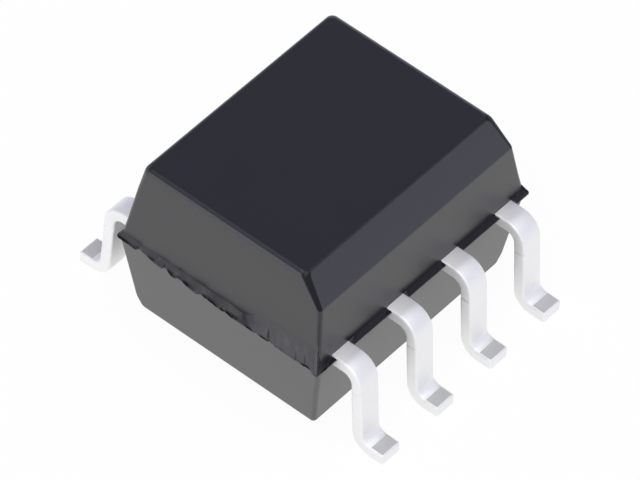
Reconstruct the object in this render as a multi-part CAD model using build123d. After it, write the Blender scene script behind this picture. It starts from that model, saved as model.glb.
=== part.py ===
from build123d import *
import os
from math import radians, tan

os.makedirs("parts", exist_ok=True)

# Two-channel optocoupler in an eight-lead small-outline package, in millimetres.
# Each channel is a light emitter chip that faces a light detector chip across a block of
# light-coloured epoxy. A black epoxy moulding covers the block and holds the eight leads.
# The origin is the centre of the seating plane. +Z is up and the lead rows run along X,
# with leads 1 to 4 on the -Y side, under the chamfered edge, and leads 5 to 8 on the +Y side.

# Black moulding
body_length = 4.86         # lower half, along the lead rows, at the parting plane
body_width = 4.00          # lower half, across the lead rows, at the parting plane
body_top = 3.155           # height of the top face over the seating plane
stand_off = 0.06           # gap under the body
upper_draft = 8.5          # degrees, so that the upper half leaves its mould
lower_draft = 7.8
upper_inset = 0.035        # how far the upper half stands in behind the lower half
chamfer_run = 0.39         # bevel that marks the side of leads 1 to 4, across and down between its edges
chamfer_drop = 0.48
edge_radius = 0.07
flash_reach = 0.075        # thin lip of epoxy squeezed out at the parting plane
flash_web = 0.15           # its reach along X at the corner by lead 1, where it is widest
flash_thickness = 0.04

# Light-coloured moulding inside
block_length = 4.10        # at the parting plane
block_width = 2.80
block_top = 2.60
block_bottom = 0.70
block_draft = 5.0
block_corner_radius = 0.10

# Leads, bent from one sheet for each row
leads_per_row = 4
lead_pitch = 1.27
lead_width = 0.41
lead_thickness = 0.21
lead_top = 1.70            # upper face where a lead leaves the body
lead_span = 6.10           # over the tips of both rows
foot_length = 0.50         # from the corner of leg and foot, on the sheet's middle, to the tip
leg_lean = 4.0             # degrees that the leg leans outwards, towards the foot
shoulder_radius = 0.16     # on the inside of the bend
foot_radius = 0.15         # on the inside of the bend
bend_radius = 0.06         # inside of the two bends within the block

# Inner ends of the leads
emitter_level = 2.22       # middle of the sheet at the emitter pads
detector_level = 1.08      # middle of the sheet at the detector pads
slope_outer = 1.30         # where the sheet starts to rise or fall, from the middle of the body
slope_inner = 0.70         # where it is level again
jog_outer = 1.85           # outermost leads narrow between these two, to stay inside the block
jog_inner = 1.55
narrow_width = 0.20        # outermost leads, inside the block
pad_reach = 0.30           # chip pad, past the middle of its channel along X
pad_far = 0.42             # chip pad, past the middle of the body along Y
pad_near = 0.50            # chip pad, on the side of its own lead
post_end = 0.14            # wire post, past the middle of the body along Y

# Chips, their adhesive, the gel and the wires
glue_thickness = 0.02
glue_margin = 0.03         # adhesive that shows around a chip
glue_corner = 0.05
emitter_size = 0.25
emitter_height = 0.15
detector_size = 0.50
detector_height = 0.22
gel_radius = 0.29
wire_diameter = 0.03
flats_per_wire = 8         # the round wire and its ball are drawn as prisms, to stay light
wire_rise = 0.10           # height of the loop over the chip
wire_bend = 0.035
wire_landing = 0.10        # from the edge of the post to the wire's end
ball_diameter = 0.08
ball_height = 0.02
detector_bond = 0.19       # wire's place on the detector chip, from its middle

# Worked out from the sizes above
lead_middle = lead_top - lead_thickness / 2
half_sheet = lead_thickness / 2
half_lead = lead_width / 2
toe_reach = lead_span / 2
foot_corner = toe_reach - foot_length
shoulder_corner = foot_corner - (lead_middle - half_sheet) * tan(radians(leg_lean))
emitter_side = -1
detector_side = 1


# Places of the leads and channels

def lead_side(pin):
    """Side of the body along Y: -1 for leads 1 to 4, +1 for leads 5 to 8."""
    return emitter_side if pin <= leads_per_row else detector_side


def lead_x(pin):
    """Middle of a lead along X. The numbers run round the body."""
    place = pin if pin <= leads_per_row else 2 * leads_per_row + 1 - pin
    return (place - (leads_per_row + 1) / 2) * lead_pitch


def channel_x(pin):
    """Middle of the lead's channel: leads 1, 2, 7 and 8 are one channel, 3 to 6 the other."""
    return lead_pitch if lead_x(pin) > 0 else -lead_pitch


def carries_chip(pin):
    """Even leads end in a chip pad, odd leads in a post for the wire."""
    return pin % 2 == 0


# Leads

def sheet_profile(side, level):
    """Bent sheet seen along X, from the far edge of the pad to the tip of the foot."""
    points = [
        (-side * pad_far, level),
        (side * slope_inner, level),
        (side * slope_outer, lead_middle),
        (side * shoulder_corner, lead_middle),
        (side * foot_corner, half_sheet),
        (side * toe_reach, half_sheet),
    ]
    radii = [bend_radius, bend_radius, shoulder_radius, foot_radius]
    path = FilletPolyline(*points, radius=[radius + half_sheet for radius in radii])
    return Plane.YZ * trace(path, lead_thickness)


def lead_outline(pin):
    """Flat outline of a lead seen from above, before the sheet is bent."""
    inward = 1 if channel_x(pin) > lead_x(pin) else -1
    outermost = abs(lead_x(pin)) > abs(channel_x(pin))
    back = half_lead - narrow_width if outermost else -half_lead
    if carries_chip(pin):
        front = abs(lead_x(pin) - channel_x(pin)) + pad_reach
        end = [(half_lead, pad_near), (front, pad_near), (front, -pad_far), (back, -pad_far)]
    else:
        end = [(half_lead, -post_end), (back, -post_end)]
    points = [(-half_lead, toe_reach), (half_lead, toe_reach), *end]
    points += [(back, jog_inner), (-half_lead, jog_outer)]
    side = lead_side(pin)
    placed = [(lead_x(pin) + inward * across, side * out) for across, out in points]
    return make_face(Polyline(*placed, close=True))


def make_lead(pin):
    """Sheet bent to its profile and cut to its outline."""
    side = lead_side(pin)
    level = emitter_level if side == emitter_side else detector_level
    sheet = extrude(sheet_profile(side, level), amount=body_length, both=True)
    return sheet & extrude(lead_outline(pin), amount=body_top, both=True)


# Chips and what is around them

def pad_face(pin):
    """Height of the face that carries the chip or the wire, and the way it looks."""
    if lead_side(pin) == emitter_side:
        return emitter_level - half_sheet, -1
    return detector_level + half_sheet, 1


def make_glue(pin, chip_size):
    """Conductive adhesive under a chip."""
    height, facing = pad_face(pin)
    size = chip_size + 2 * glue_margin
    outline = Pos(channel_x(pin), 0, height) * RectangleRounded(size, size, glue_corner)
    return extrude(outline, amount=glue_thickness, dir=(0, 0, facing))


def make_chip(pin, chip_size, chip_height):
    """Square chip on its adhesive."""
    height, facing = pad_face(pin)
    outline = Pos(channel_x(pin), 0, height + facing * glue_thickness) * Rectangle(chip_size, chip_size)
    return extrude(outline, amount=chip_height, dir=(0, 0, facing))


def make_wire(pin, chip_height, bond_offset, post):
    """Gold wire from a ball on the chip, over a loop, to the post of the next lead."""
    height, facing = pad_face(pin)
    chip_face = height + facing * (glue_thickness + chip_height)
    towards_post = 1 if lead_x(pin) < channel_x(pin) else -1
    start_x = channel_x(pin) + towards_post * bond_offset
    post_edge = abs(lead_x(pin) - channel_x(pin)) - half_lead
    end_x = channel_x(pin) + towards_post * (post_edge + wire_landing)
    start = Vector(start_x, 0, chip_face)
    bend = Vector(start_x, 0, chip_face + facing * wire_rise)
    landing = Vector(end_x, 0, height)
    sunk = landing + (landing - bend).normalized() * wire_diameter
    path = FilletPolyline(start, bend, sunk, radius=wire_bend)
    section = Plane(start, z_dir=(0, 0, facing)) * RegularPolygon(wire_diameter / 2, flats_per_wire)
    footprint = Pos(start_x, 0, chip_face) * RegularPolygon(ball_diameter / 2, flats_per_wire)
    ball = extrude(footprint, ball_height, dir=(0, 0, facing))
    return sweep(section, path=path) + ball - post


def make_gel(pin, *inside):
    """Clear dome of soft gel over the emitter chip and the start of its wire."""
    height, facing = pad_face(pin)
    dome = Pos(channel_x(pin), 0, height) * Sphere(gel_radius)
    half = Pos(channel_x(pin), 0, height + facing * gel_radius) * Box(*[2 * gel_radius] * 3)
    gel = dome & half
    for piece in inside:
        gel -= piece
    return gel


# Mouldings

def drafted_half(length, width, start, end, draft):
    """Half of a moulding, from the parting plane to its far face, with sharp edges."""
    shrink = 2 * abs(end - start) * tan(radians(draft))
    wide = Pos(0, 0, start) * Rectangle(length, width)
    narrow = Pos(0, 0, end) * Rectangle(length - shrink, width - shrink)
    return loft([wide, narrow])


def round_edges(half, radius):
    """Round each edge that doesn't lie in the parting plane."""
    sharp = [edge for edge in half.edges() if abs((edge @ 0.5).Z - lead_top) > radius]
    return fillet(sharp, radius)


def round_corners(half, radius):
    """Round only the four upright edges."""
    upright = [edge for edge in half.edges() if abs((edge @ 1).Z - (edge @ 0).Z) > radius]
    return fillet(upright, radius)


def make_upper_half():
    """Upper half of the black moulding, with its bevel along leads 1 to 4."""
    length = body_length - 2 * upper_inset
    width = body_width - 2 * upper_inset
    half = drafted_half(length, width, lead_top, body_top, upper_draft)
    low_edge = (body_top - chamfer_drop - lead_top) * tan(radians(upper_draft)) - width / 2
    inner = (low_edge + chamfer_run, body_top)
    outer = (low_edge - chamfer_run, body_top - 2 * chamfer_drop)
    corner = (low_edge - chamfer_run, body_top)
    bevel = Plane.YZ * make_face(Polyline(inner, outer, corner, close=True))
    return round_edges(half - extrude(bevel, amount=body_length, both=True), edge_radius)


def make_lower_half():
    """Lower half of the black moulding, which stops short of the board."""
    half = drafted_half(body_length, body_width, lead_top, stand_off, lower_draft)
    return round_edges(half, edge_radius)


def make_flash():
    """Thin lip of epoxy all round the parting plane, widest at the corner by lead 1."""
    end = body_length / 2 + flash_reach
    side = body_width / 2 + flash_reach
    widest = body_length / 2 + flash_web
    outline = make_face(Polyline((-widest, -side), (end, -side), (end, side), (-end, side), close=True))
    return extrude(Pos(0, 0, lead_top) * outline, amount=-flash_thickness)


def make_block():
    """Light-coloured block, before the leads and chips are taken out of it."""
    upper = drafted_half(block_length, block_width, lead_top, block_top, block_draft)
    lower = drafted_half(block_length, block_width, lead_top, block_bottom, block_draft)
    return round_corners(upper, block_corner_radius) + round_corners(lower, block_corner_radius)


# Assembly

leads = {pin: make_lead(pin) for pin in range(1, 2 * leads_per_row + 1)}
nodes = {f"lead_{pin}": lead for pin, lead in leads.items()}

for channel in range(1, leads_per_row // 2 + 1):
    emitter_pad = 2 * channel
    emitter_post = emitter_pad - 1
    detector_post = 2 * leads_per_row + 1 - emitter_pad
    detector_pad = detector_post + 1

    glue = make_glue(emitter_pad, emitter_size)
    chip = make_chip(emitter_pad, emitter_size, emitter_height)
    wire = make_wire(emitter_pad, emitter_height, 0, leads[emitter_post])
    nodes[f"emitter_glue_{channel}"] = glue
    nodes[f"emitter_chip_{channel}"] = chip
    nodes[f"emitter_wire_{channel}"] = wire
    nodes[f"emitter_gel_{channel}"] = make_gel(emitter_pad, glue, chip, wire)

    nodes[f"detector_glue_{channel}"] = make_glue(detector_pad, detector_size)
    nodes[f"detector_chip_{channel}"] = make_chip(detector_pad, detector_size, detector_height)
    wire = make_wire(detector_pad, detector_height, detector_bond, leads[detector_post])
    nodes[f"detector_wire_{channel}"] = wire

block = make_block()
nodes["inner_moulding"] = block - list(nodes.values())

body = make_upper_half() + make_lower_half() + make_flash()
nodes["outer_moulding"] = body - block - list(leads.values())

for name, node in nodes.items():
    export_step(node, f"parts/{name}.step")
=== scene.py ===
import math
import bmesh
import bpy
from mathutils import Matrix, Vector, noise


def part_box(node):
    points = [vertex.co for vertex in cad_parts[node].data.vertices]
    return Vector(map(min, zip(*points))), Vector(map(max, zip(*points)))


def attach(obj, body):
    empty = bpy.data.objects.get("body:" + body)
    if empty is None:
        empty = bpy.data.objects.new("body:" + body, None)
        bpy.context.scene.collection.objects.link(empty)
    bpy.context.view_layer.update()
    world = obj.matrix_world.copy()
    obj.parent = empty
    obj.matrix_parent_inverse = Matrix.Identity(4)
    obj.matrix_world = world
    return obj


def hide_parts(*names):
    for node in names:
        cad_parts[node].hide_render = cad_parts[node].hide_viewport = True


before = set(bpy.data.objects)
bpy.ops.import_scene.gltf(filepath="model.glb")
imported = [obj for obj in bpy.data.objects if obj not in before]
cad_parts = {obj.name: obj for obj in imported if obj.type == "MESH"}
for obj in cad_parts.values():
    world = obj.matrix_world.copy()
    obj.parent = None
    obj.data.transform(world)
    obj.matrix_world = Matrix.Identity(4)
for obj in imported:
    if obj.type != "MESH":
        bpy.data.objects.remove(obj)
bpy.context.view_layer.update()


# Leads
# Eight gull-wing leads, stamped from copper alloy sheet and plated with matte tin. They are bent
# to shape after the body is moulded round their inner ends, which carry the chips and the wires.

MM = 0.001
hair = 0.001 * MM              # a step too short to see
leads_per_row = 4
lead_pitch = 1.27 * MM
lead_width = 0.41 * MM
lead_thickness = 0.21 * MM
lead_top = 1.70 * MM
toe_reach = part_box("lead_5")[1].y
foot_length = 0.50 * MM
leg_lean = math.radians(4.0)
shoulder_radius = 0.16 * MM
foot_radius = 0.15 * MM
inner_bend_radius = 0.06 * MM
emitter_level = 2.22 * MM      # middle of the sheet inside the body, in the row with the emitters
detector_level = 1.08 * MM
slope_outer = 1.30 * MM        # the sheet steps up or down to that level between these two
slope_inner = 0.70 * MM
jog_outer = 1.85 * MM          # the outermost leads narrow between these two
jog_inner = 1.55 * MM
narrow_width = 0.20 * MM
pad_reach = 0.30 * MM          # from the middle of a chip pad to its edge, along X
pad_near = 0.50 * MM           # the same along Y, on the lead's side
pad_far = 0.42 * MM            # and on the other side
post_end = 0.14 * MM           # how far a wire post goes past the body's middle
half_sheet = lead_thickness / 2
half_lead = lead_width / 2
stamped_edge = 0.038 * MM      # edges are rolled over by the punch and rounded by the plating
trim_height = 1.19 * MM        # where the bar that tied the leads together was cut away
trim_width = 0.03 * MM
trim_depth = 0.010 * MM
trim_slope = 0.012 * MM
pressed_and_shaded_length = 0.25 * MM     # top of the foot that the forming tool presses flat and that is painted a darker grey as shade


def linear(code):
    """A colour written as an sRGB hex value, in linear light, with full alpha."""
    channels = [int(code[i:i + 2], 16) / 255 for i in (1, 3, 5)]
    return [c / 12.92 if c <= 0.04045 else ((c + 0.055) / 1.055) ** 2.4 for c in channels] + [1]


def add(tree, kind, links={}, values={}, **settings):
    """Adds a node. Links name an input with the node and output that feed it, values name an
    input with its number or colour, and settings are the node's own."""
    node = tree.nodes.new(kind)
    for name, value in settings.items():
        setattr(node, name, value)
    for name, value in values.items():
        node.inputs[name].default_value = value
    for name, (source, output) in links.items():
        tree.links.new(source.outputs[output], node.inputs[name])
    return node


def start_material(name, **values):
    """A new material with those values on its shader, as material, node tree and shader."""
    material = bpy.data.materials.new(name)
    material.use_nodes = True
    shader = material.node_tree.nodes["Principled BSDF"]
    for key, value in values.items():
        shader.inputs[key.replace("_", " ")].default_value = value
    return material, material.node_tree, shader


def lead_place(pin):
    """Middle of a lead along X, its side of the body, and the middle of its channel."""
    place = pin if pin <= leads_per_row else 2 * leads_per_row + 1 - pin
    x = (place - (leads_per_row + 1) / 2) * lead_pitch
    return x, (-1 if pin <= leads_per_row else 1), math.copysign(lead_pitch, x)


def rounded_path(corners, radii, step=math.radians(6)):
    """Points of a path with arcs at its corners, as (point, direction) pairs."""
    path = [(corners[0], (corners[1] - corners[0]).normalized())]
    for before, corner, after, radius in zip(corners, corners[1:], corners[2:], radii):
        arrive = (corner - before).normalized()
        leave = (after - corner).normalized()
        turn = math.atan2(arrive.x * leave.y - arrive.y * leave.x, arrive.dot(leave))
        start = corner - arrive * radius * math.tan(abs(turn) / 2)
        centre = start + Vector((-arrive.y, arrive.x)) * math.copysign(radius, turn)
        count = math.ceil(abs(turn) / step)
        for i in range(count + 1):
            spin = Matrix.Rotation(turn * i / count, 2)
            path.append((centre + spin @ (start - centre), spin @ arrive))
    path.append((corners[-1], (corners[-1] - corners[-2]).normalized()))
    return path


def leg_out(height):
    """Distance outwards of the middle of the leg at a height."""
    return toe_reach - foot_length - (height - half_sheet) * math.tan(leg_lean)


def lead_path(pin):
    """Middle of the bent sheet, outwards along Y and up, from the inner end to the toe."""
    level = emitter_level if lead_place(pin)[1] < 0 else detector_level
    middle = lead_top - half_sheet
    start = -pad_far if pin % 2 == 0 else -post_end
    corners = [Vector(place) for place in (
        (start, level), (slope_inner, level), (slope_outer, middle), (leg_out(middle), middle),
        (leg_out(half_sheet), half_sheet), (toe_reach, half_sheet))]
    inside = (inner_bend_radius, inner_bend_radius, shoulder_radius, foot_radius)
    return rounded_path(corners, [radius + half_sheet for radius in inside])


def with_stops(path, stops):
    """The path with more points where it passes the given distances outwards."""
    apart = hair / 10
    full = []
    for (a, direction), (b, _) in zip(path, path[1:]):
        full.append((a, direction))
        passed = sorted(stop for stop in stops if a.x + apart < stop < b.x - apart)
        full += [(a.lerp(b, (stop - a.x) / (b.x - a.x)), direction) for stop in passed]
    return full + [path[-1]]


def rounded_ends(path, radius, steps=4):
    """Adds how far each section shrinks, so that both ends of the path are rounded over. The roll
    stops short of a right angle, so that a small flat face is left."""
    full_roll = math.radians(80)
    angles = [full_roll * i / steps for i in range(steps + 1)]
    rolls = [(radius * (1 - math.cos(a)), radius * (1 - math.sin(a))) for a in angles]
    (first, heading), (last, leaving) = path[0], path[-1]
    start = [(first + heading * back, heading, shrink) for shrink, back in reversed(rolls)]
    end = [(last - leaving * back, leaving, shrink) for shrink, back in rolls]
    return start + [(point, direction, 0) for point, direction in path[1:-1]] + end


def lead_edges(pin, place):
    """Both edges of the lead across its width, at a place outwards and up."""
    x, _, channel = lead_place(pin)
    out = place.x
    back = half_lead - narrow_width if abs(x) > abs(channel) else -half_lead
    if out >= jog_outer:
        cut = trim_depth if abs(place.y - trim_height) < trim_width / 2 else 0
        return cut - half_lead, half_lead - cut
    if out > jog_inner:
        part = (out - jog_inner) / (jog_outer - jog_inner)
        return back + (-half_lead - back) * part, half_lead
    if pin % 2 == 0 and out < pad_near:
        return back, abs(x - channel) + pad_reach
    return back, half_lead


def rounded_section(low, high, half, radius, steps=4):
    """Rectangle with round corners, from low to high across and half up and down."""
    ring = []
    for quarter, (a, b) in enumerate(((high, half), (low, half), (low, -half), (high, -half))):
        centre = (a - math.copysign(radius, a - (low + high) / 2), b - math.copysign(radius, b))
        for i in range(steps + 1):
            angle = (quarter + i / steps) * math.pi / 2
            ring.append((centre[0] + radius * math.cos(angle), centre[1] + radius * math.sin(angle)))
    return ring


def skin(name, rings):
    """Closed mesh over a row of rings that have the same number of points."""
    size = len(rings[0])
    points = [point for ring in rings for point in ring]
    faces = [tuple(range(size)), tuple(range(len(points) - size, len(points)))]
    for row in range(0, len(points) - size, size):
        for i in range(size):
            j = (i + 1) % size
            faces.append((row + i, row + j, row + size + j, row + size + i))
    mesh = bpy.data.meshes.new(name)
    mesh.from_pydata(points, [], faces)
    shape = bmesh.new()
    shape.from_mesh(mesh)
    bmesh.ops.recalc_face_normals(shape, faces=shape.faces)
    shape.to_mesh(mesh)
    shape.free()
    return mesh


def place_piece(mesh, material, slot, *replaced):
    """Puts a mesh in the scene, smooth but for its sharp edges, in place of its CAD nodes."""
    sharp = math.radians(32)
    piece = bpy.data.objects.new(mesh.name, mesh)
    bpy.context.scene.collection.objects.link(piece)
    mesh.materials.append(material)
    mesh.shade_smooth()
    mesh.set_sharp_from_angle(angle=sharp)
    flat = piece.modifiers.new("Flat faces stay flat", "WEIGHTED_NORMAL")
    flat.keep_sharp = True
    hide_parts(*replaced)
    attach(piece, "root")
    return piece


def lead_mesh(pin):
    """One lead, as sections set along its bent middle."""
    x, side, channel = lead_place(pin)
    inward = math.copysign(1, channel - x)
    half_trim = trim_width / 2
    rises = (-half_trim - trim_slope, hair - half_trim, half_trim - hair, half_trim + trim_slope)
    marks = [leg_out(trim_height + rise) for rise in rises]
    stops = (pad_near - 2 * hair, pad_near, jog_inner, jog_outer, *marks)
    rings = []
    for point, direction, shrink in rounded_ends(with_stops(lead_path(pin), stops), stamped_edge):
        low, high = lead_edges(pin, point)
        radius = stamped_edge - shrink
        ring = rounded_section(low + shrink, high - shrink, half_sheet - shrink, radius)
        up = Vector((-direction.y, direction.x))
        placed = [(w, point + up * t) for w, t in ring]
        rings.append([(x + inward * w, side * at.x, at.y) for w, at in placed])
    return skin(f"lead_{pin}_formed", rings)


def matte_tin_plate():
    """Electroplated matte tin: bright but diffuse, with a fine crystal grain and faint stains. The
    forming tool leaves a flat, duller patch on each foot, and its flat top is painted a darker grey,
    a painted shade for a face turned to the dim overhead."""
    tin, tree, shader = start_material("matte tin plate", Metallic=1)
    place = add(tree, "ShaderNodeTexCoord")
    stain = add(tree, "ShaderNodeTexNoise", {"Vector": (place, "Object")},
                {"Scale": 1 / (0.4 * MM), "Detail": 3})
    tone = add(tree, "ShaderNodeMix", {"Factor": (stain, "Fac")},
               {6: linear("#f2f2f1"), 7: linear("#f8f8f7")}, data_type="RGBA")
    split = add(tree, "ShaderNodeSeparateXYZ", {"Vector": (place, "Object")})
    out = add(tree, "ShaderNodeMath", {0: (split, "Y")}, operation="ABSOLUTE")
    start = toe_reach - pressed_and_shaded_length
    on_foot = add(tree, "ShaderNodeMapRange", {"Value": (out, "Value")},
                  {"From Min": start, "From Max": start + 0.006 * MM})
    normal = add(tree, "ShaderNodeSeparateXYZ", {"Vector": (place, "Normal")})
    level = add(tree, "ShaderNodeMapRange", {"Value": (normal, "Z")}, {"From Min": 0.93, "From Max": 0.98})
    pressed = add(tree, "ShaderNodeMath", {0: (on_foot, "Result"), 1: (level, "Result")},
                  operation="MULTIPLY")
    # Painted shade: the flat top of each foot gets a darker grey, while its extra roughness is the pressed
    # patch's own.
    painted_shade = add(tree, "ShaderNodeMix", {"Factor": (pressed, "Value"), 6: (tone, 2)},
               {7: linear("#dadad8")}, data_type="RGBA")
    tree.links.new(painted_shade.outputs[2], shader.inputs["Base Color"])
    grain = add(tree, "ShaderNodeTexNoise", {"Vector": (place, "Object")},
                {"Scale": 1 / (0.03 * MM), "Detail": 4})
    rough = add(tree, "ShaderNodeMapRange", {"Value": (grain, "Fac")}, {"To Min": 0.60, "To Max": 0.72})
    matted = add(tree, "ShaderNodeMath", {0: (pressed, "Value")}, {1: 0.25}, operation="MULTIPLY")
    dulled = add(tree, "ShaderNodeMath", {0: (rough, "Result"), 1: (matted, "Value")}, operation="ADD")
    tree.links.new(dulled.outputs["Value"], shader.inputs["Roughness"])
    bump = add(tree, "ShaderNodeBump", {"Height": (grain, "Fac")}, {"Strength": 0.1, "Distance": 0.003 * MM})
    tree.links.new(bump.outputs["Normal"], shader.inputs["Normal"])
    return tin


tin = matte_tin_plate()
for pin in range(1, 2 * leads_per_row + 1):
    place_piece(lead_mesh(pin), tin, "tinned_lead", f"lead_{pin}")


# Chip adhesive
# A thin square of silver-filled epoxy is stamped on each pad and cured under the chip. It shows
# as a dull grey rim round the chip.

def finish_nodes(material, *names):
    """Gives CAD nodes that keep their own shape a material."""
    for name in names:
        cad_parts[name].material_slots[0].material = material


def silver_filled_adhesive():
    """Cured silver epoxy: dull light grey with flakes, drawn at 12 microns so that they show."""
    adhesive, tree, shader = start_material("silver filled adhesive", Metallic=0.4)
    place = add(tree, "ShaderNodeTexCoord")
    flakes = add(tree, "ShaderNodeTexVoronoi", {"Vector": (place, "Object")}, {"Scale": 1 / (0.012 * MM)})
    tone = add(tree, "ShaderNodeMix", {"Factor": (flakes, "Color")},
               {6: linear("#8f8f8b"), 7: linear("#c8c8c4")}, data_type="RGBA")
    tree.links.new(tone.outputs[2], shader.inputs["Base Color"])
    rough = add(tree, "ShaderNodeMapRange", {"Value": (flakes, "Color")}, {"To Min": 0.65, "To Max": 0.4})
    tree.links.new(rough.outputs["Result"], shader.inputs["Roughness"])
    return adhesive


finish_nodes(silver_filled_adhesive(),
             "emitter_glue_1", "emitter_glue_2", "detector_glue_1", "detector_glue_2")


# Emitter chips
# Aluminium gallium arsenide crystals, sawn square, that glow in the near infrared. Each has a
# gold contact in the middle of its face for the bond wire.

contact_radius = 0.055 * MM


def from_channel(tree):
    """Distances along X and Y from the middle of the nearer channel, each as node and output."""
    place = add(tree, "ShaderNodeTexCoord")
    split = add(tree, "ShaderNodeSeparateXYZ", {"Vector": (place, "Object")})
    folded = add(tree, "ShaderNodeMath", {0: (split, "X")}, operation="ABSOLUTE")
    along = add(tree, "ShaderNodeMath", {0: (folded, "Value")}, {1: lead_pitch}, operation="SUBTRACT")
    return (along, "Value"), (split, "Y")


def sawn_emitter_crystal():
    """Polished dark red-grey crystal, glossy from its high index, with a bright gold contact."""
    crystal, tree, shader = start_material("sawn emitter crystal", IOR=2.6)
    along, across = from_channel(tree)
    flat = add(tree, "ShaderNodeCombineXYZ", {"X": along, "Y": across})
    away = add(tree, "ShaderNodeVectorMath", {0: (flat, "Vector")}, operation="LENGTH")
    contact = add(tree, "ShaderNodeMath", {0: (away, "Value")}, {1: contact_radius}, operation="LESS_THAN")
    tone = add(tree, "ShaderNodeMix", {"Factor": (contact, "Value")},
               {6: linear("#4a3a3a"), 7: linear("#e6bd63")}, data_type="RGBA")
    tree.links.new(tone.outputs[2], shader.inputs["Base Color"])
    tree.links.new(contact.outputs["Value"], shader.inputs["Metallic"])
    place = add(tree, "ShaderNodeTexCoord")
    saw = add(tree, "ShaderNodeTexNoise", {"Vector": (place, "Object")}, {"Scale": 1 / (0.015 * MM)})
    rough = add(tree, "ShaderNodeMapRange", {"Value": (saw, "Fac")}, {"To Min": 0.15, "To Max": 0.45})
    tree.links.new(rough.outputs["Result"], shader.inputs["Roughness"])
    return crystal


finish_nodes(sawn_emitter_crystal(), "emitter_chip_1", "emitter_chip_2")


# Detector chips
# Polished silicon with a wide photodiode inside a ring of aluminium, under clear glass. The bare
# border is the lane where the wafer was sawn.

detector_size = 0.50 * MM
lane_width = 0.03 * MM
ring_width = 0.025 * MM


def polished_silicon():
    """Mirror-dark silicon: a blue photodiode, an aluminium ring round it and a grey sawn lane."""
    silicon, tree, shader = start_material("polished silicon", Roughness=0.12, IOR=3.0)
    along, across = [add(tree, "ShaderNodeMath", {0: distance}, operation="ABSOLUTE")
                     for distance in from_channel(tree)]
    out = add(tree, "ShaderNodeMath", {0: (along, "Value"), 1: (across, "Value")}, operation="MAXIMUM")
    ring_outer = detector_size / 2 - lane_width
    ring_inner = ring_outer - ring_width
    inside = add(tree, "ShaderNodeMath", {0: (out, "Value")}, {1: ring_outer}, operation="LESS_THAN")
    diode = add(tree, "ShaderNodeMath", {0: (out, "Value")}, {1: ring_inner}, operation="LESS_THAN")
    ring = add(tree, "ShaderNodeMath", {0: (inside, "Value"), 1: (diode, "Value")}, operation="SUBTRACT")
    body = add(tree, "ShaderNodeMix", {"Factor": (diode, "Value")},
               {6: linear("#6b6b70"), 7: linear("#232a4d")}, data_type="RGBA")
    tone = add(tree, "ShaderNodeMix", {"Factor": (ring, "Value"), 6: (body, 2)}, {7: linear("#dcdcdf")},
               data_type="RGBA")
    tree.links.new(tone.outputs[2], shader.inputs["Base Color"])
    tree.links.new(ring.outputs["Value"], shader.inputs["Metallic"])
    return silicon


finish_nodes(polished_silicon(), "detector_chip_1", "detector_chip_2")


# Bond wires
# Gold wire 30 microns thick. Each starts as a ball welded on the chip, loops over and ends in a
# stitch pressed flat on the post beside the pad.

wire_radius = 0.015 * MM
wire_sides = 12
ball_radius = 0.04 * MM
ball_height = 0.02 * MM
ball_shape = ((0, 0.9), (0.3, 1), (0.7, 0.95), (1, 0.6))       # shares of height and radius, from the chip up
ball_neck = 1.3                # the wire starts this many ball heights up
wire_rise = 0.10 * MM
wire_bend = 0.035 * MM
wire_landing = 0.10 * MM       # from the edge of the post to where the wire touches it
stitch_length = 0.06 * MM
stitch_start = (0.4 * wire_radius, 1.8 * wire_radius)          # half its thickness and half its width
stitch_end = (0.005 * MM, 1.9 * wire_radius)
chip_lift = {"emitter": 0.17 * MM, "detector": 0.24 * MM}      # top of the chip over its pad
bond_offset = {"emitter": 0, "detector": 0.19 * MM}            # from the middle of the chip to the ball


def wire_mesh(kind, channel):
    """Ball, loop and stitch as rings round the wire's middle, which lies in a plane along X."""
    name = f"{kind}_wire_{channel}"
    low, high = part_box(name)
    x = math.copysign(lead_pitch, low.x)
    towards = math.copysign(1, (low.x + high.x) / 2 - x)
    up = -1 if kind == "emitter" else 1
    pad = (emitter_level if kind == "emitter" else detector_level) + up * half_sheet
    upright = Vector((0, 1))
    level = Vector((1, 0))
    start = level * bond_offset[kind]
    bend = start + upright * wire_rise
    post_edge = lead_pitch / 2 - half_lead
    landing = Vector((post_edge + wire_landing, wire_radius - chip_lift[kind]))
    slope = (landing - bend).normalized()
    rings = []
    for height, width in ball_shape:
        radius = ball_radius * width
        rings.append((start + upright * ball_height * height, upright, radius, radius))
    path = rounded_path([start + upright * ball_height * ball_neck, bend, landing], [wire_bend])
    rings += [(point, heading, wire_radius, wire_radius) for point, heading in path[:-1]]
    pressed = landing + slope * stitch_length / 4
    tail = pressed + Vector((stitch_length / 2, -wire_radius / 2))
    rings += [(landing, slope, wire_radius, wire_radius),
              (pressed, level, *stitch_start),
              (tail, level, *stitch_end)]
    placed = []
    for at, heading, thin, wide in rings:
        out = Vector((-heading.y, heading.x))
        turns = [math.tau * i / wire_sides for i in range(wire_sides)]
        spots = [(at + out * thin * math.cos(a), wide * math.sin(a)) for a in turns]
        placed.append([(x + towards * spot.x, y, pad + up * (chip_lift[kind] + spot.y)) for spot, y in spots])
    return skin(f"{name}_bonded", placed)


def drawn_gold():
    """Pure gold drawn through a die: warm yellow, smooth, with faint lines."""
    gold, tree, shader = start_material("drawn gold", Metallic=1, Base_Color=linear("#f2c46a"))
    place = add(tree, "ShaderNodeTexCoord")
    lines = add(tree, "ShaderNodeTexNoise", {"Vector": (place, "Object")}, {"Scale": 1 / (0.008 * MM)})
    rough = add(tree, "ShaderNodeMapRange", {"Value": (lines, "Fac")}, {"To Min": 0.15, "To Max": 0.3})
    tree.links.new(rough.outputs["Result"], shader.inputs["Roughness"])
    return gold


gold = drawn_gold()
for kind in ("emitter", "detector"):
    for channel in (1, 2):
        place_piece(wire_mesh(kind, channel), gold, "gold_wire", f"{kind}_wire_{channel}")


# Gel over the emitters
# A drop of clear silicone gel that keeps stress off each emitter. It is dispensed liquid and sets
# as a dome.

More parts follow.
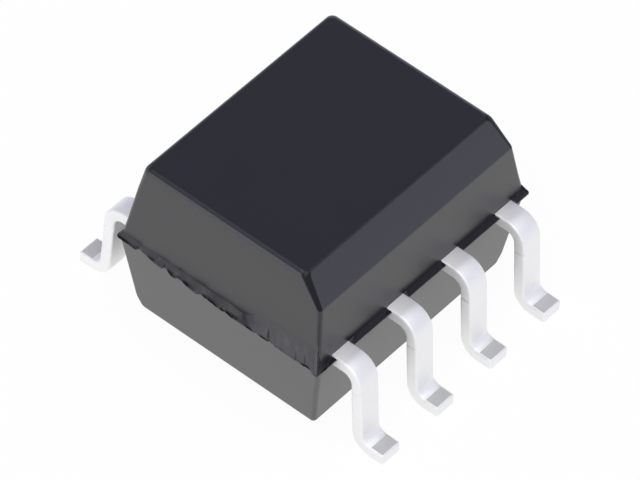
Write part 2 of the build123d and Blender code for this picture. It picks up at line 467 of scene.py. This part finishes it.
def clear_silicone_gel():
    """Clear silicone: water-like, slightly dusty inside."""
    gel, tree, shader = start_material("clear silicone gel", IOR=1.41, Transmission_Weight=1)
    place = add(tree, "ShaderNodeTexCoord")
    dust = add(tree, "ShaderNodeTexNoise", {"Vector": (place, "Object")}, {"Scale": 1 / (0.05 * MM)})
    tone = add(tree, "ShaderNodeMix", {"Factor": (dust, "Fac")}, {6: linear("#f2f3f3"), 7: linear("#fbfbfb")},
               data_type="RGBA")
    tree.links.new(tone.outputs[2], shader.inputs["Base Color"])
    rough = add(tree, "ShaderNodeMapRange", {"Value": (dust, "Fac")}, {"To Min": 0.02, "To Max": 0.1})
    tree.links.new(rough.outputs["Result"], shader.inputs["Roughness"])
    return gel


finish_nodes(clear_silicone_gel(), "emitter_gel_1", "emitter_gel_2")


# Inner moulding
# The first shot of the double moulding: epoxy filled with white powder, which lets the light pass
# from each emitter to its detector and keeps them apart.

def white_moulding_epoxy():
    """Silica-filled epoxy without carbon: chalky off-white that light sinks into a little."""
    epoxy, tree, shader = start_material("white moulding epoxy", IOR=1.55, Subsurface_Weight=0.3,
                                         Subsurface_Radius=(0.2, 0.2, 0.2), Subsurface_Scale=0.5 * MM)
    place = add(tree, "ShaderNodeTexCoord")
    flow = add(tree, "ShaderNodeTexNoise", {"Vector": (place, "Object")},
               {"Scale": 1 / (0.6 * MM), "Detail": 3})
    tone = add(tree, "ShaderNodeMix", {"Factor": (flow, "Fac")}, {6: linear("#e4e1d6"), 7: linear("#f0eee6")},
               data_type="RGBA")
    tree.links.new(tone.outputs[2], shader.inputs["Base Color"])
    grain = add(tree, "ShaderNodeTexNoise", {"Vector": (place, "Object")},
                {"Scale": 1 / (0.03 * MM), "Detail": 3})
    rough = add(tree, "ShaderNodeMapRange", {"Value": (grain, "Fac")}, {"To Min": 0.45, "To Max": 0.6})
    tree.links.new(rough.outputs["Result"], shader.inputs["Roughness"])
    bump = add(tree, "ShaderNodeBump", {"Height": (grain, "Fac")}, {"Strength": 0.15, "Distance": 0.004 * MM})
    tree.links.new(bump.outputs["Normal"], shader.inputs["Normal"])
    return epoxy


finish_nodes(white_moulding_epoxy(), "inner_moulding")


# Outer moulding
# The black body, transfer moulded in epoxy over the block and the leads. It is one piece with
# draft both ways from the parting plane, a bevel along leads 1 to 4 and a ragged lip of flash.

body_length = 4.86 * MM
body_width = 4.00 * MM
box_low, box_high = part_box("outer_moulding")
body_top = box_high.z
body_bottom = box_low.z
upper_draft = math.radians(8.5)
lower_draft = math.radians(7.8)
upper_inset = 0.035 * MM       # step between the mould halves at the parting plane
chamfer_run = 0.39 * MM
chamfer_drop = 0.48 * MM
edge_radius = 0.07 * MM
end_top_radius = 0.11 * MM     # top edges and corners of the ends, worn rounder than the others
flash_thickness = 0.04 * MM
flash_front = 0.072 * MM       # how far the lip stands out along leads 1 to 4
flash_back = 0.008 * MM
flash_left = 0.100 * MM        # at the end by leads 1 and 8, where it is ragged
flash_right = -0.005 * MM      # at the other end, where it is trimmed back
flash_corners = (0.05 * MM, 0.02 * MM, 0.06 * MM, 0.006 * MM)      # its corner radii, as in body_loop
tip_reach = 0.035 * MM         # how much farther it reaches at the corner by lead 1
tip_length = 0.12 * MM
web_start = 0.45 * MM          # this far from the body's middle the lip starts to grow into a thick web
web_growth = 0.50 * MM         # and this much nearer to lead 1 it is full
root_climb = 0.055 * MM        # how far the lip climbs the ends
far_climb = 0.05 * MM          # and how much farther at the end by lead 4
web_climb = 0.22 * MM          # and on the thick web
corner_climb = 0.05 * MM       # how far it climbs the long sides, next to the corners
corner_run = 0.28 * MM
climb_waves = 0.30 * MM        # length of the waves in how far it climbs
long_waves = 0.35 * MM         # lengths of the waves in the lip's edge
short_waves = 0.08 * MM
ragged_waves = 0.006 * MM      # and their depth, at the ragged end and elsewhere
even_waves = 0.003 * MM
torn_depth = 0.10 * MM         # the material is torn this far in from the ragged end's plane
broken = [[size * MM for size in row] for row in (      # bits broken off the edge: place, length, depth
    (2.40, 1.90, 0.075), (1.58, 0.50, 0.103), (1.04, 0.22, 0.076), (0.76, 0.30, 0.052), (0.30, 0.42, 0.034),
    (-0.20, 0.12, 0.020), (-0.82, 0.14, 0.018), (-1.07, 0.16, 0.032), (-1.62, 0.16, 0.010),
    (-1.80, 0.20, 0.012))]
foot_rounding = 0.25 * MM      # down from this height over the underside its corners grow rounder
foot_corners = (0.15 * MM, 0.12 * MM, 0.16 * MM, 0.07 * MM)     # radii there, as in body_loop


def side_profile(half, chamfered=False, top_radius=edge_radius):
    """Rounded outline of one side of the body, as points of distance and height from the bottom to
    the parting plane and from there to the top."""
    foot = half - (lead_top - body_bottom) * math.tan(lower_draft)
    waist = half - upper_inset
    lean = math.tan(upper_draft)
    lower = rounded_path(
        [Vector((0, body_bottom)), Vector((foot, body_bottom)), Vector((half, lead_top))], [edge_radius])
    knee = waist - (body_top - chamfer_drop - lead_top) * lean
    head = waist - (body_top - lead_top) * lean
    corners = [Vector((waist, lead_top))]
    if chamfered:
        corners += [Vector((knee, body_top - chamfer_drop)), Vector((knee - chamfer_run, body_top))]
    else:
        corners += [Vector((head, body_top))]
    corners += [Vector((0, body_top))]
    upper = rounded_path(corners, [top_radius] * 2)
    return [point for point, _ in lower], [point for point, _ in upper]


def at_height(profile, height):
    """Largest distance of the profile from the body's middle at a height."""
    slack = 1e-12
    found = []
    for a, b in zip(profile, profile[1:]):
        if min(a.y, b.y) - slack <= height <= max(a.y, b.y) + slack:
            part = 0 if abs(b.y - a.y) < slack else (height - a.y) / (b.y - a.y)
            found.append(a.x + (b.x - a.x) * part)
    return max(found)


def smooth_noise(x, y, size, seed):
    """Noise from -1 to 1 that changes over about that size."""
    return noise.noise(Vector((x / size, y / size, seed)))


def ease(value, low, high):
    """0 below low, 1 above high and smooth in between; low may be the larger one."""
    share = max(0, min(1, (value - low) / (high - low)))
    return share * share * (3 - 2 * share)


def under_lead(x, y):
    """True where a lead passes through the parting line."""
    near_side = abs(y) > body_width / 2 - 4 * edge_radius
    just_inside = half_lead - 0.01 * MM
    return near_side and any(abs(x - lead_place(pin)[0]) < just_inside for pin in range(1, leads_per_row + 1))


def body_loop(height, left, right, front, back, corners=(edge_radius,) * 4, turns=8):
    """Points round a rectangle with the reaches to -X, +X, -Y and +Y, and its way out at each.
    The round corners are in the order +X-Y, +X+Y, -X+Y and -X-Y."""
    step = 0.02 * MM
    sides = (
        (Vector((-left, -front)), Vector((1, 0)), left + right, body_length),
        (Vector((right, -front)), Vector((0, 1)), front + back, body_width),
        (Vector((right, back)), Vector((-1, 0)), left + right, body_length),
        (Vector((-left, back)), Vector((0, -1)), front + back, body_width))
    points = []
    for i, (start, along, length, nominal) in enumerate(sides):
        out = Vector((along.y, -along.x))
        before, after = corners[i - 1], corners[i]
        count = round(nominal / step)
        for k in range(count):
            at = start + along * (before + (length - before - after) * k / count)
            points.append((at.x, at.y, height, out))
        hub = start + along * (length - after) - out * after
        for k in range(turns):
            spin = Matrix.Rotation(math.pi / 2 * k / turns, 2)
            at = hub + spin @ (out * after)
            points.append((at.x, at.y, height, spin @ out))
    return points


def broken_off(y):
    """Depth of the breaks in the lip at a place along Y. Each starts abruptly and heals slowly."""
    abrupt = 0.08
    deepest = 0
    for place, length, depth in broken:
        back = (place - y) / length
        if -abrupt < back < 1:
            deepest = max(deepest, depth * (1 + back / abrupt if back < 0 else 1 - back))
    return deepest


def thick_part(y):
    """1 where the lip is a thick web near the corner by lead 1, 0 where it is a thin shelf."""
    return ease(y, -web_start, -web_start - web_growth)


def worn_break(y):
    """Depth of the breaks further in on the lip, where they are worn smooth. The thick web is
    unbroken there, because only its very edge is chipped."""
    spacing = 0.04 * MM
    around = [broken_off(y + spacing * i) for i in range(-4, 5)]
    return sum(around) / len(around) * (1 - thick_part(y))


def flash_loop(height, share, dip=0, edge=True):
    """Ragged loop round the lip of flash, at that share of its reach, at its edge or further in."""
    reach = [half + lip * share for half, lip in (
        (body_length / 2, flash_left), (body_length / 2, flash_right),
        (body_width / 2, flash_front), (body_width / 2, flash_back))]
    loop = []
    for x, y, z, out in body_loop(height, *reach, corners=flash_corners):
        ragged = x < -body_length / 2
        waves = smooth_noise(x, y, long_waves, 3) + 0.8 * smooth_noise(x, y, short_waves, 7)
        x, y = Vector((x, y)) + out * share * waves * (ragged_waves if ragged else even_waves)
        if ragged:
            depth = broken_off(y) if edge else worn_break(y)
            x += share * (depth - tip_reach * ease(y, tip_length - body_width / 2, -body_width / 2))
        x = max(box_low.x, min(box_high.x, x))
        loop.append((x, y, z - (dip if under_lead(x, y) else 0)))
    return loop


def root_loop(above=0, dip=0):
    """Loop where the lip leaves the upper half, or that far above. It climbs the ends, most on
    the thick web."""
    end, side = (half - upper_inset for half in (body_length / 2, body_width / 2))
    loop = []
    for x, y, z, out in body_loop(lead_top, end, end, side, side):
        wander = 0.8 + 0.5 * smooth_noise(x, y, climb_waves, 5)
        on_end = ease(abs(out.x), 0.2, 0.8)
        farther = web_climb * thick_part(y) if x < 0 else far_climb
        near_corner = ease(abs(x), end - corner_run, end - 0.02 * MM)
        rise = on_end * (root_climb * wander + farther) + (1 - on_end) * near_corner * corner_climb + above
        lean = rise * math.tan(upper_draft)
        loop.append((x - out.x * lean, y - out.y * lean, z + rise - (dip if under_lead(x, y) else 0)))
    return loop


def moulding_mesh():
    """Black body as loops from its underside, round the lip of flash, to its top face. It stores
    on each point how much it belongs to the torn lip, for the material."""
    lower_end, upper_end = side_profile(body_length / 2, top_radius=end_top_radius)
    lower_side, upper_side = side_profile(body_width / 2)
    _, upper_front = side_profile(body_width / 2, chamfered=True)
    loops = []

    def add_body_loop(height, ends, fronts, backs, corners):
        end = at_height(ends, height)
        loop = body_loop(height, end, end, at_height(fronts, height), at_height(backs, height), corners)
        loops.append([point[:3] for point in loop])

    lip_bottom = lead_top - flash_thickness
    under_lip = lip_bottom - 0.004 * MM     # a loop so near that the crease stays sharp
    rounding = {body_bottom + foot_rounding * share for share in (0.4, 0.6, 0.8, 1)}
    profile = {point.y for point in lower_end if point.y < under_lip}
    for height in sorted(profile | rounding | {under_lip, lip_bottom}):
        inset = body_length / 2 - (lead_top - height) * math.tan(lower_draft) - at_height(lower_end, height)
        growth = ease(height, body_bottom + foot_rounding, body_bottom)
        corners = [max(edge_radius / 6, edge_radius + (radius - edge_radius) * growth - inset)
                   for radius in foot_corners]
        add_body_loop(height, lower_end, lower_side, lower_side, corners)

    buried = 0.1 * MM           # the lip stays this far under the top of a lead that passes through
    lip_start = len(loops)
    lip_top = lead_top - flash_thickness * 0.35
    root = root_loop(dip=buried / 5)
    inner = flash_loop(lip_top, 0.96, buried, edge=False)
    web = [Vector(a).lerp(Vector(b), 0.5) for a, b in zip(inner, root)]
    loops.append(flash_loop(lip_bottom, 0.9))
    loops.append(flash_loop(lead_top - flash_thickness * 0.75, 1, buried))
    loops.append(flash_loop(lip_top, 0.96, buried))
    loops += [web, root]
    lip_end = len(loops)
    loops.append(root_loop(above=0.015 * MM))

    over_web = lead_top + 0.38 * MM
    heights = {round(point.y, 9) for point in upper_end + upper_front if point.y > over_web} | {over_web}
    for height in sorted(heights):
        height = min(height, body_top)
        growth = ease(height, body_top - chamfer_drop, body_top)
        corner = edge_radius + (end_top_radius - edge_radius) * growth
        add_body_loop(height, upper_end, upper_front, upper_side, [corner] * 4)

    mesh = skin("black_moulding", loops)
    torn = mesh.attributes.new("torn", "FLOAT", "POINT")
    for number in range(lip_start, lip_end):
        on_edge = number < lip_end - 2
        for i, (x, y, _) in enumerate(loops[number]):
            at_end = x < torn_depth - body_length / 2
            fade = 1 - ease(y, web_growth / 2 - web_start, -web_start - web_growth / 2)
            torn.data[number * len(root) + i].value = at_end * (1 if on_edge else fade)
    return mesh


def painted_edge_shade(tree, place, split, torn):
    """How much gloss is taken away to paint shade, as a node. The torn lip's edge gets a painted
    shade with gaps, and the rounded edges from the bevel to the ends get painted shade."""
    # Painted shade: a dark band with gaps along the torn lip's edge, made by taking its gloss away.
    low, high = lead_top - 0.012 * MM, lead_top + 0.010 * MM
    over_edge = add(tree, "ShaderNodeMapRange", {"Value": (split, "Z")},
                    {"From Min": low, "From Max": high, "To Min": 0.8, "To Max": 0})
    gaps = add(tree, "ShaderNodeTexNoise", {"Vector": (place, "Object")}, {"Scale": 1 / (0.25 * MM)})
    dark = add(tree, "ShaderNodeMapRange", {"Value": (gaps, "Fac")}, {"From Min": 0.4, "From Max": 0.6})
    edge = add(tree, "ShaderNodeMath", {0: (dark, "Result"), 1: (over_edge, "Result")},
               operation="MULTIPLY")
    lip_shade = add(tree, "ShaderNodeMath", {0: (torn, "Fac"), 1: (edge, "Value")}, operation="MULTIPLY")
    # Painted shade: the rounded edges from the bevel to the ends reflect less, so that they look dark and
    # show no highlight.
    normal = add(tree, "ShaderNodeSeparateXYZ", {"Vector": (place, "Normal")})
    along = add(tree, "ShaderNodeMath", {0: (normal, "X")}, operation="ABSOLUTE")
    from_end = add(tree, "ShaderNodeMapRange", {"Value": (along, "Value")},
                   {"From Min": 0.97, "From Max": 0.85})
    from_top = add(tree, "ShaderNodeMapRange", {"Value": (along, "Value")},
                   {"From Min": 0.03, "From Max": 0.12})
    from_back = add(tree, "ShaderNodeMapRange", {"Value": (normal, "Y")},
                    {"From Min": -0.03, "From Max": -0.15})
    upward = add(tree, "ShaderNodeMapRange", {"Value": (normal, "Z")},
                 {"From Min": 0.10, "From Max": 0.40})
    across = add(tree, "ShaderNodeMath", {0: (from_end, "Result"), 1: (from_top, "Result")},
                 operation="MULTIPLY")
    over = add(tree, "ShaderNodeMath", {0: (from_back, "Result"), 1: (upward, "Result")},
               operation="MULTIPLY")
    painted_shade = add(tree, "ShaderNodeMath", {0: (across, "Value"), 1: (over, "Value")}, operation="MULTIPLY")
    faded = add(tree, "ShaderNodeMath", {0: (painted_shade, "Value")}, {1: 0.38}, operation="MULTIPLY")
    return add(tree, "ShaderNodeMath", {0: (lip_shade, "Value"), 1: (faded, "Value")}, operation="MAXIMUM")


def black_moulding_epoxy():
    """Epoxy filled with silica and carbon, moulded against spark-eroded steel: even satin black.
    The lower half is painted greyer, a painted reflection of the white table that its flanks face.
    The torn lip is rougher and has pale flecks of silica."""
    epoxy, tree, shader = start_material("black moulding epoxy", IOR=1.78)
    place = add(tree, "ShaderNodeTexCoord")
    cloud = add(tree, "ShaderNodeTexNoise", {"Vector": (place, "Object")},
                {"Scale": 1 / (0.8 * MM), "Detail": 2})
    upper = add(tree, "ShaderNodeMix", {"Factor": (cloud, "Fac")},
                {6: linear("#0d0d13"), 7: linear("#111117")}, data_type="RGBA")
    split = add(tree, "ShaderNodeSeparateXYZ", {"Vector": (place, "Object")})
    # Painted reflection: below the parting line the colour is greyer, for the white table that the lower
    # flanks mirror.
    below = add(tree, "ShaderNodeMath", {0: (split, "Z")}, {1: lead_top - 0.03 * MM},
                operation="LESS_THAN")
    smooth = add(tree, "ShaderNodeMix", {"Factor": (below, "Value"), 6: (upper, 2)},
                 {7: linear("#2e2e2f")}, data_type="RGBA")
    torn = add(tree, "ShaderNodeAttribute", attribute_name="torn")
    rubbed = add(tree, "ShaderNodeMix", {"Factor": (torn, "Fac"), 6: (smooth, 2)},
                 {7: linear("#1b1b1c")}, data_type="RGBA")
    crumb = add(tree, "ShaderNodeTexNoise", {"Vector": (place, "Object")},
                {"Scale": 1 / (0.06 * MM), "Detail": 3})
    spots = add(tree, "ShaderNodeMapRange", {"Value": (crumb, "Fac")}, {"From Min": 0.6, "From Max": 0.7})
    flecks = add(tree, "ShaderNodeMath", {0: (torn, "Fac"), 1: (spots, "Result")}, operation="MULTIPLY")
    tone = add(tree, "ShaderNodeMix", {"Factor": (flecks, "Value"), 6: (rubbed, 2)},
               {7: linear("#38383a")}, data_type="RGBA")
    tree.links.new(tone.outputs[2], shader.inputs["Base Color"])
    grain = add(tree, "ShaderNodeTexNoise", {"Vector": (place, "Object")},
                {"Scale": 1 / (0.02 * MM), "Detail": 3})
    rough = add(tree, "ShaderNodeMapRange", {"Value": (grain, "Fac")}, {"To Min": 0.30, "To Max": 0.38})
    coarse = add(tree, "ShaderNodeMath", {0: (torn, "Fac")}, {1: 0.14}, operation="MULTIPLY")
    rougher = add(tree, "ShaderNodeMath", {0: (rough, "Result"), 1: (coarse, "Value")}, operation="ADD")
    tree.links.new(rougher.outputs["Value"], shader.inputs["Roughness"])
    # Painted shade on the torn lip's edge and on the rounded edges, made by lowering the gloss.
    shade_on_edges = painted_edge_shade(tree, place, split, torn)
    gloss = add(tree, "ShaderNodeMath", {1: (shade_on_edges, "Value")}, {0: 0.5}, operation="SUBTRACT",
                use_clamp=True)
    tree.links.new(gloss.outputs["Value"], shader.inputs["Specular IOR Level"])
    bump = add(tree, "ShaderNodeBump", {"Height": (grain, "Fac")}, {"Strength": 0.08, "Distance": 0.003 * MM})
    tree.links.new(bump.outputs["Normal"], shader.inputs["Normal"])
    return epoxy


place_piece(moulding_mesh(), black_moulding_epoxy(), "black_epoxy", "outer_moulding")


# Table and surround
# A plain white table in a surround that is bright near the horizon and dim overhead, lit by one
# soft box overhead and one at the side, so that the flanks mirror white and the top stays dark.

table_reach = 0.4


def white_table():
    """White sheet, which the camera and reflections see as plain white but for a soft shadow."""
    table, tree, shader = start_material("white table")
    tree.nodes.remove(shader)
    ray = add(tree, "ShaderNodeLightPath")
    seen = add(tree, "ShaderNodeMath", {0: (ray, "Is Camera Ray")}, {1: 0.95}, operation="MULTIPLY")
    mirrored = add(tree, "ShaderNodeMath", {0: (ray, "Is Glossy Ray"), 1: (ray, "Is Transmission Ray")},
                   operation="ADD")
    share = add(tree, "ShaderNodeMath", {0: (seen, "Value"), 1: (mirrored, "Value")}, operation="ADD",
                use_clamp=True)
    paper = add(tree, "ShaderNodeBsdfDiffuse", values={"Color": linear("#f6f6f6")})
    glow = add(tree, "ShaderNodeEmission", values={"Strength": 1})
    both = add(tree, "ShaderNodeMixShader", {0: (share, "Value"), 1: (paper, "BSDF"), 2: (glow, "Emission")})
    tree.links.new(both.outputs["Shader"], tree.nodes["Material Output"].inputs["Surface"])
    return table


floor_mesh = bpy.data.meshes.new("table")
corners = [(x * table_reach, y * table_reach, 0) for x, y in ((-1, -1), (1, -1), (1, 1), (-1, 1))]
floor_mesh.from_pydata(corners, [], [(0, 1, 2, 3)])
floor_mesh.materials.append(white_table())
floor = bpy.data.objects.new("table", floor_mesh)
bpy.context.scene.collection.objects.link(floor)


def studio_surround():
    """White walls with a dim bluish band about 15 degrees above the table, and dim overhead."""
    world = bpy.data.worlds.new("studio surround")
    world.use_nodes = True
    tree = world.node_tree
    heading = add(tree, "ShaderNodeTexCoord")
    split = add(tree, "ShaderNodeSeparateXYZ", {"Vector": (heading, "Generated")})
    walls = add(tree, "ShaderNodeValToRGB", {"Fac": (split, "Z")})
    ramp = walls.color_ramp.elements
    ramp[0].position, ramp[0].color = 0.06, linear("#ffffff")
    ramp[1].position, ramp[1].color = 0.66, linear("#505073")
    for height, colour in ((0.24, "#adafe5"), (0.40, "#f9f9ff"), (0.50, "#ededf9")):
        ramp.new(height).color = linear(colour)
    ray = add(tree, "ShaderNodeLightPath")
    lit = add(tree, "ShaderNodeBackground", {"Color": (walls, "Color")})
    plain = add(tree, "ShaderNodeBackground", values={"Color": linear("#ffffff")})
    both = add(tree, "ShaderNodeMixShader", {0: (ray, "Is Camera Ray"), 1: (lit, "Background"),
                                             2: (plain, "Background")})
    tree.links.new(both.outputs["Shader"], tree.nodes["World Output"].inputs["Surface"])
    return world


def soft_box(name, radiance, size, place, colour):
    """Round lamp that looks at the object and is as bright as radiance, where 1 is white."""
    lamp = bpy.data.lights.new(name, "AREA")
    lamp.shape = "DISK"
    lamp.size = size
    lamp.energy = radiance * (math.pi * size / 2) ** 2
    lamp.color = linear(colour)[:3]
    box = bpy.data.objects.new(name, lamp)
    box.location = place
    box.rotation_mode = "QUATERNION"
    box.rotation_quaternion = (-Vector(place)).to_track_quat("-Z", "Y")
    bpy.context.scene.collection.objects.link(box)


bpy.context.scene.world = studio_surround()
soft_box("overhead box", 2.8, 0.28, (-0.05, -0.055, 0.25), "#fffffc")
soft_box("side box", 1.6, 0.15, (-0.25, 0.03, 0.07), "#ffffff")


# Camera
# A long macro lens about 11 cm from the part, over the corner of lead 1.

focal_length = 408.3           # in millimetres, as Blender takes it, and so is the next
sensor_width = 36
azimuth = math.radians(-51.671)
elevation = math.radians(48.471)
roll = math.radians(3.012)
distance = 110.1 * MM
aim = Vector((0, 0, 1.5 * MM))
slide_right = -0.042 * MM
slide_up = -0.308 * MM
back = Vector((math.sin(azimuth) * math.cos(elevation), -math.cos(azimuth) * math.cos(elevation),
               math.sin(elevation)))
level_right = Vector((math.cos(azimuth), math.sin(azimuth), 0))
level_up = back.cross(level_right)
right = level_right * math.cos(roll) + level_up * math.sin(roll)
up = level_up * math.cos(roll) - level_right * math.sin(roll)

lens = bpy.data.cameras.new("macro camera")
lens.sensor_width = sensor_width
lens.lens = focal_length
lens.clip_start = 0.001
lens.clip_end = 10
camera = bpy.data.objects.new("macro camera", lens)
camera.matrix_world = Matrix((right, up, back)).transposed().to_4x4()
camera.location = aim + back * distance + right * slide_right + up * slide_up
bpy.context.scene.collection.objects.link(camera)
bpy.context.scene.camera = camera
bpy.context.scene.view_settings.view_transform = "Standard"
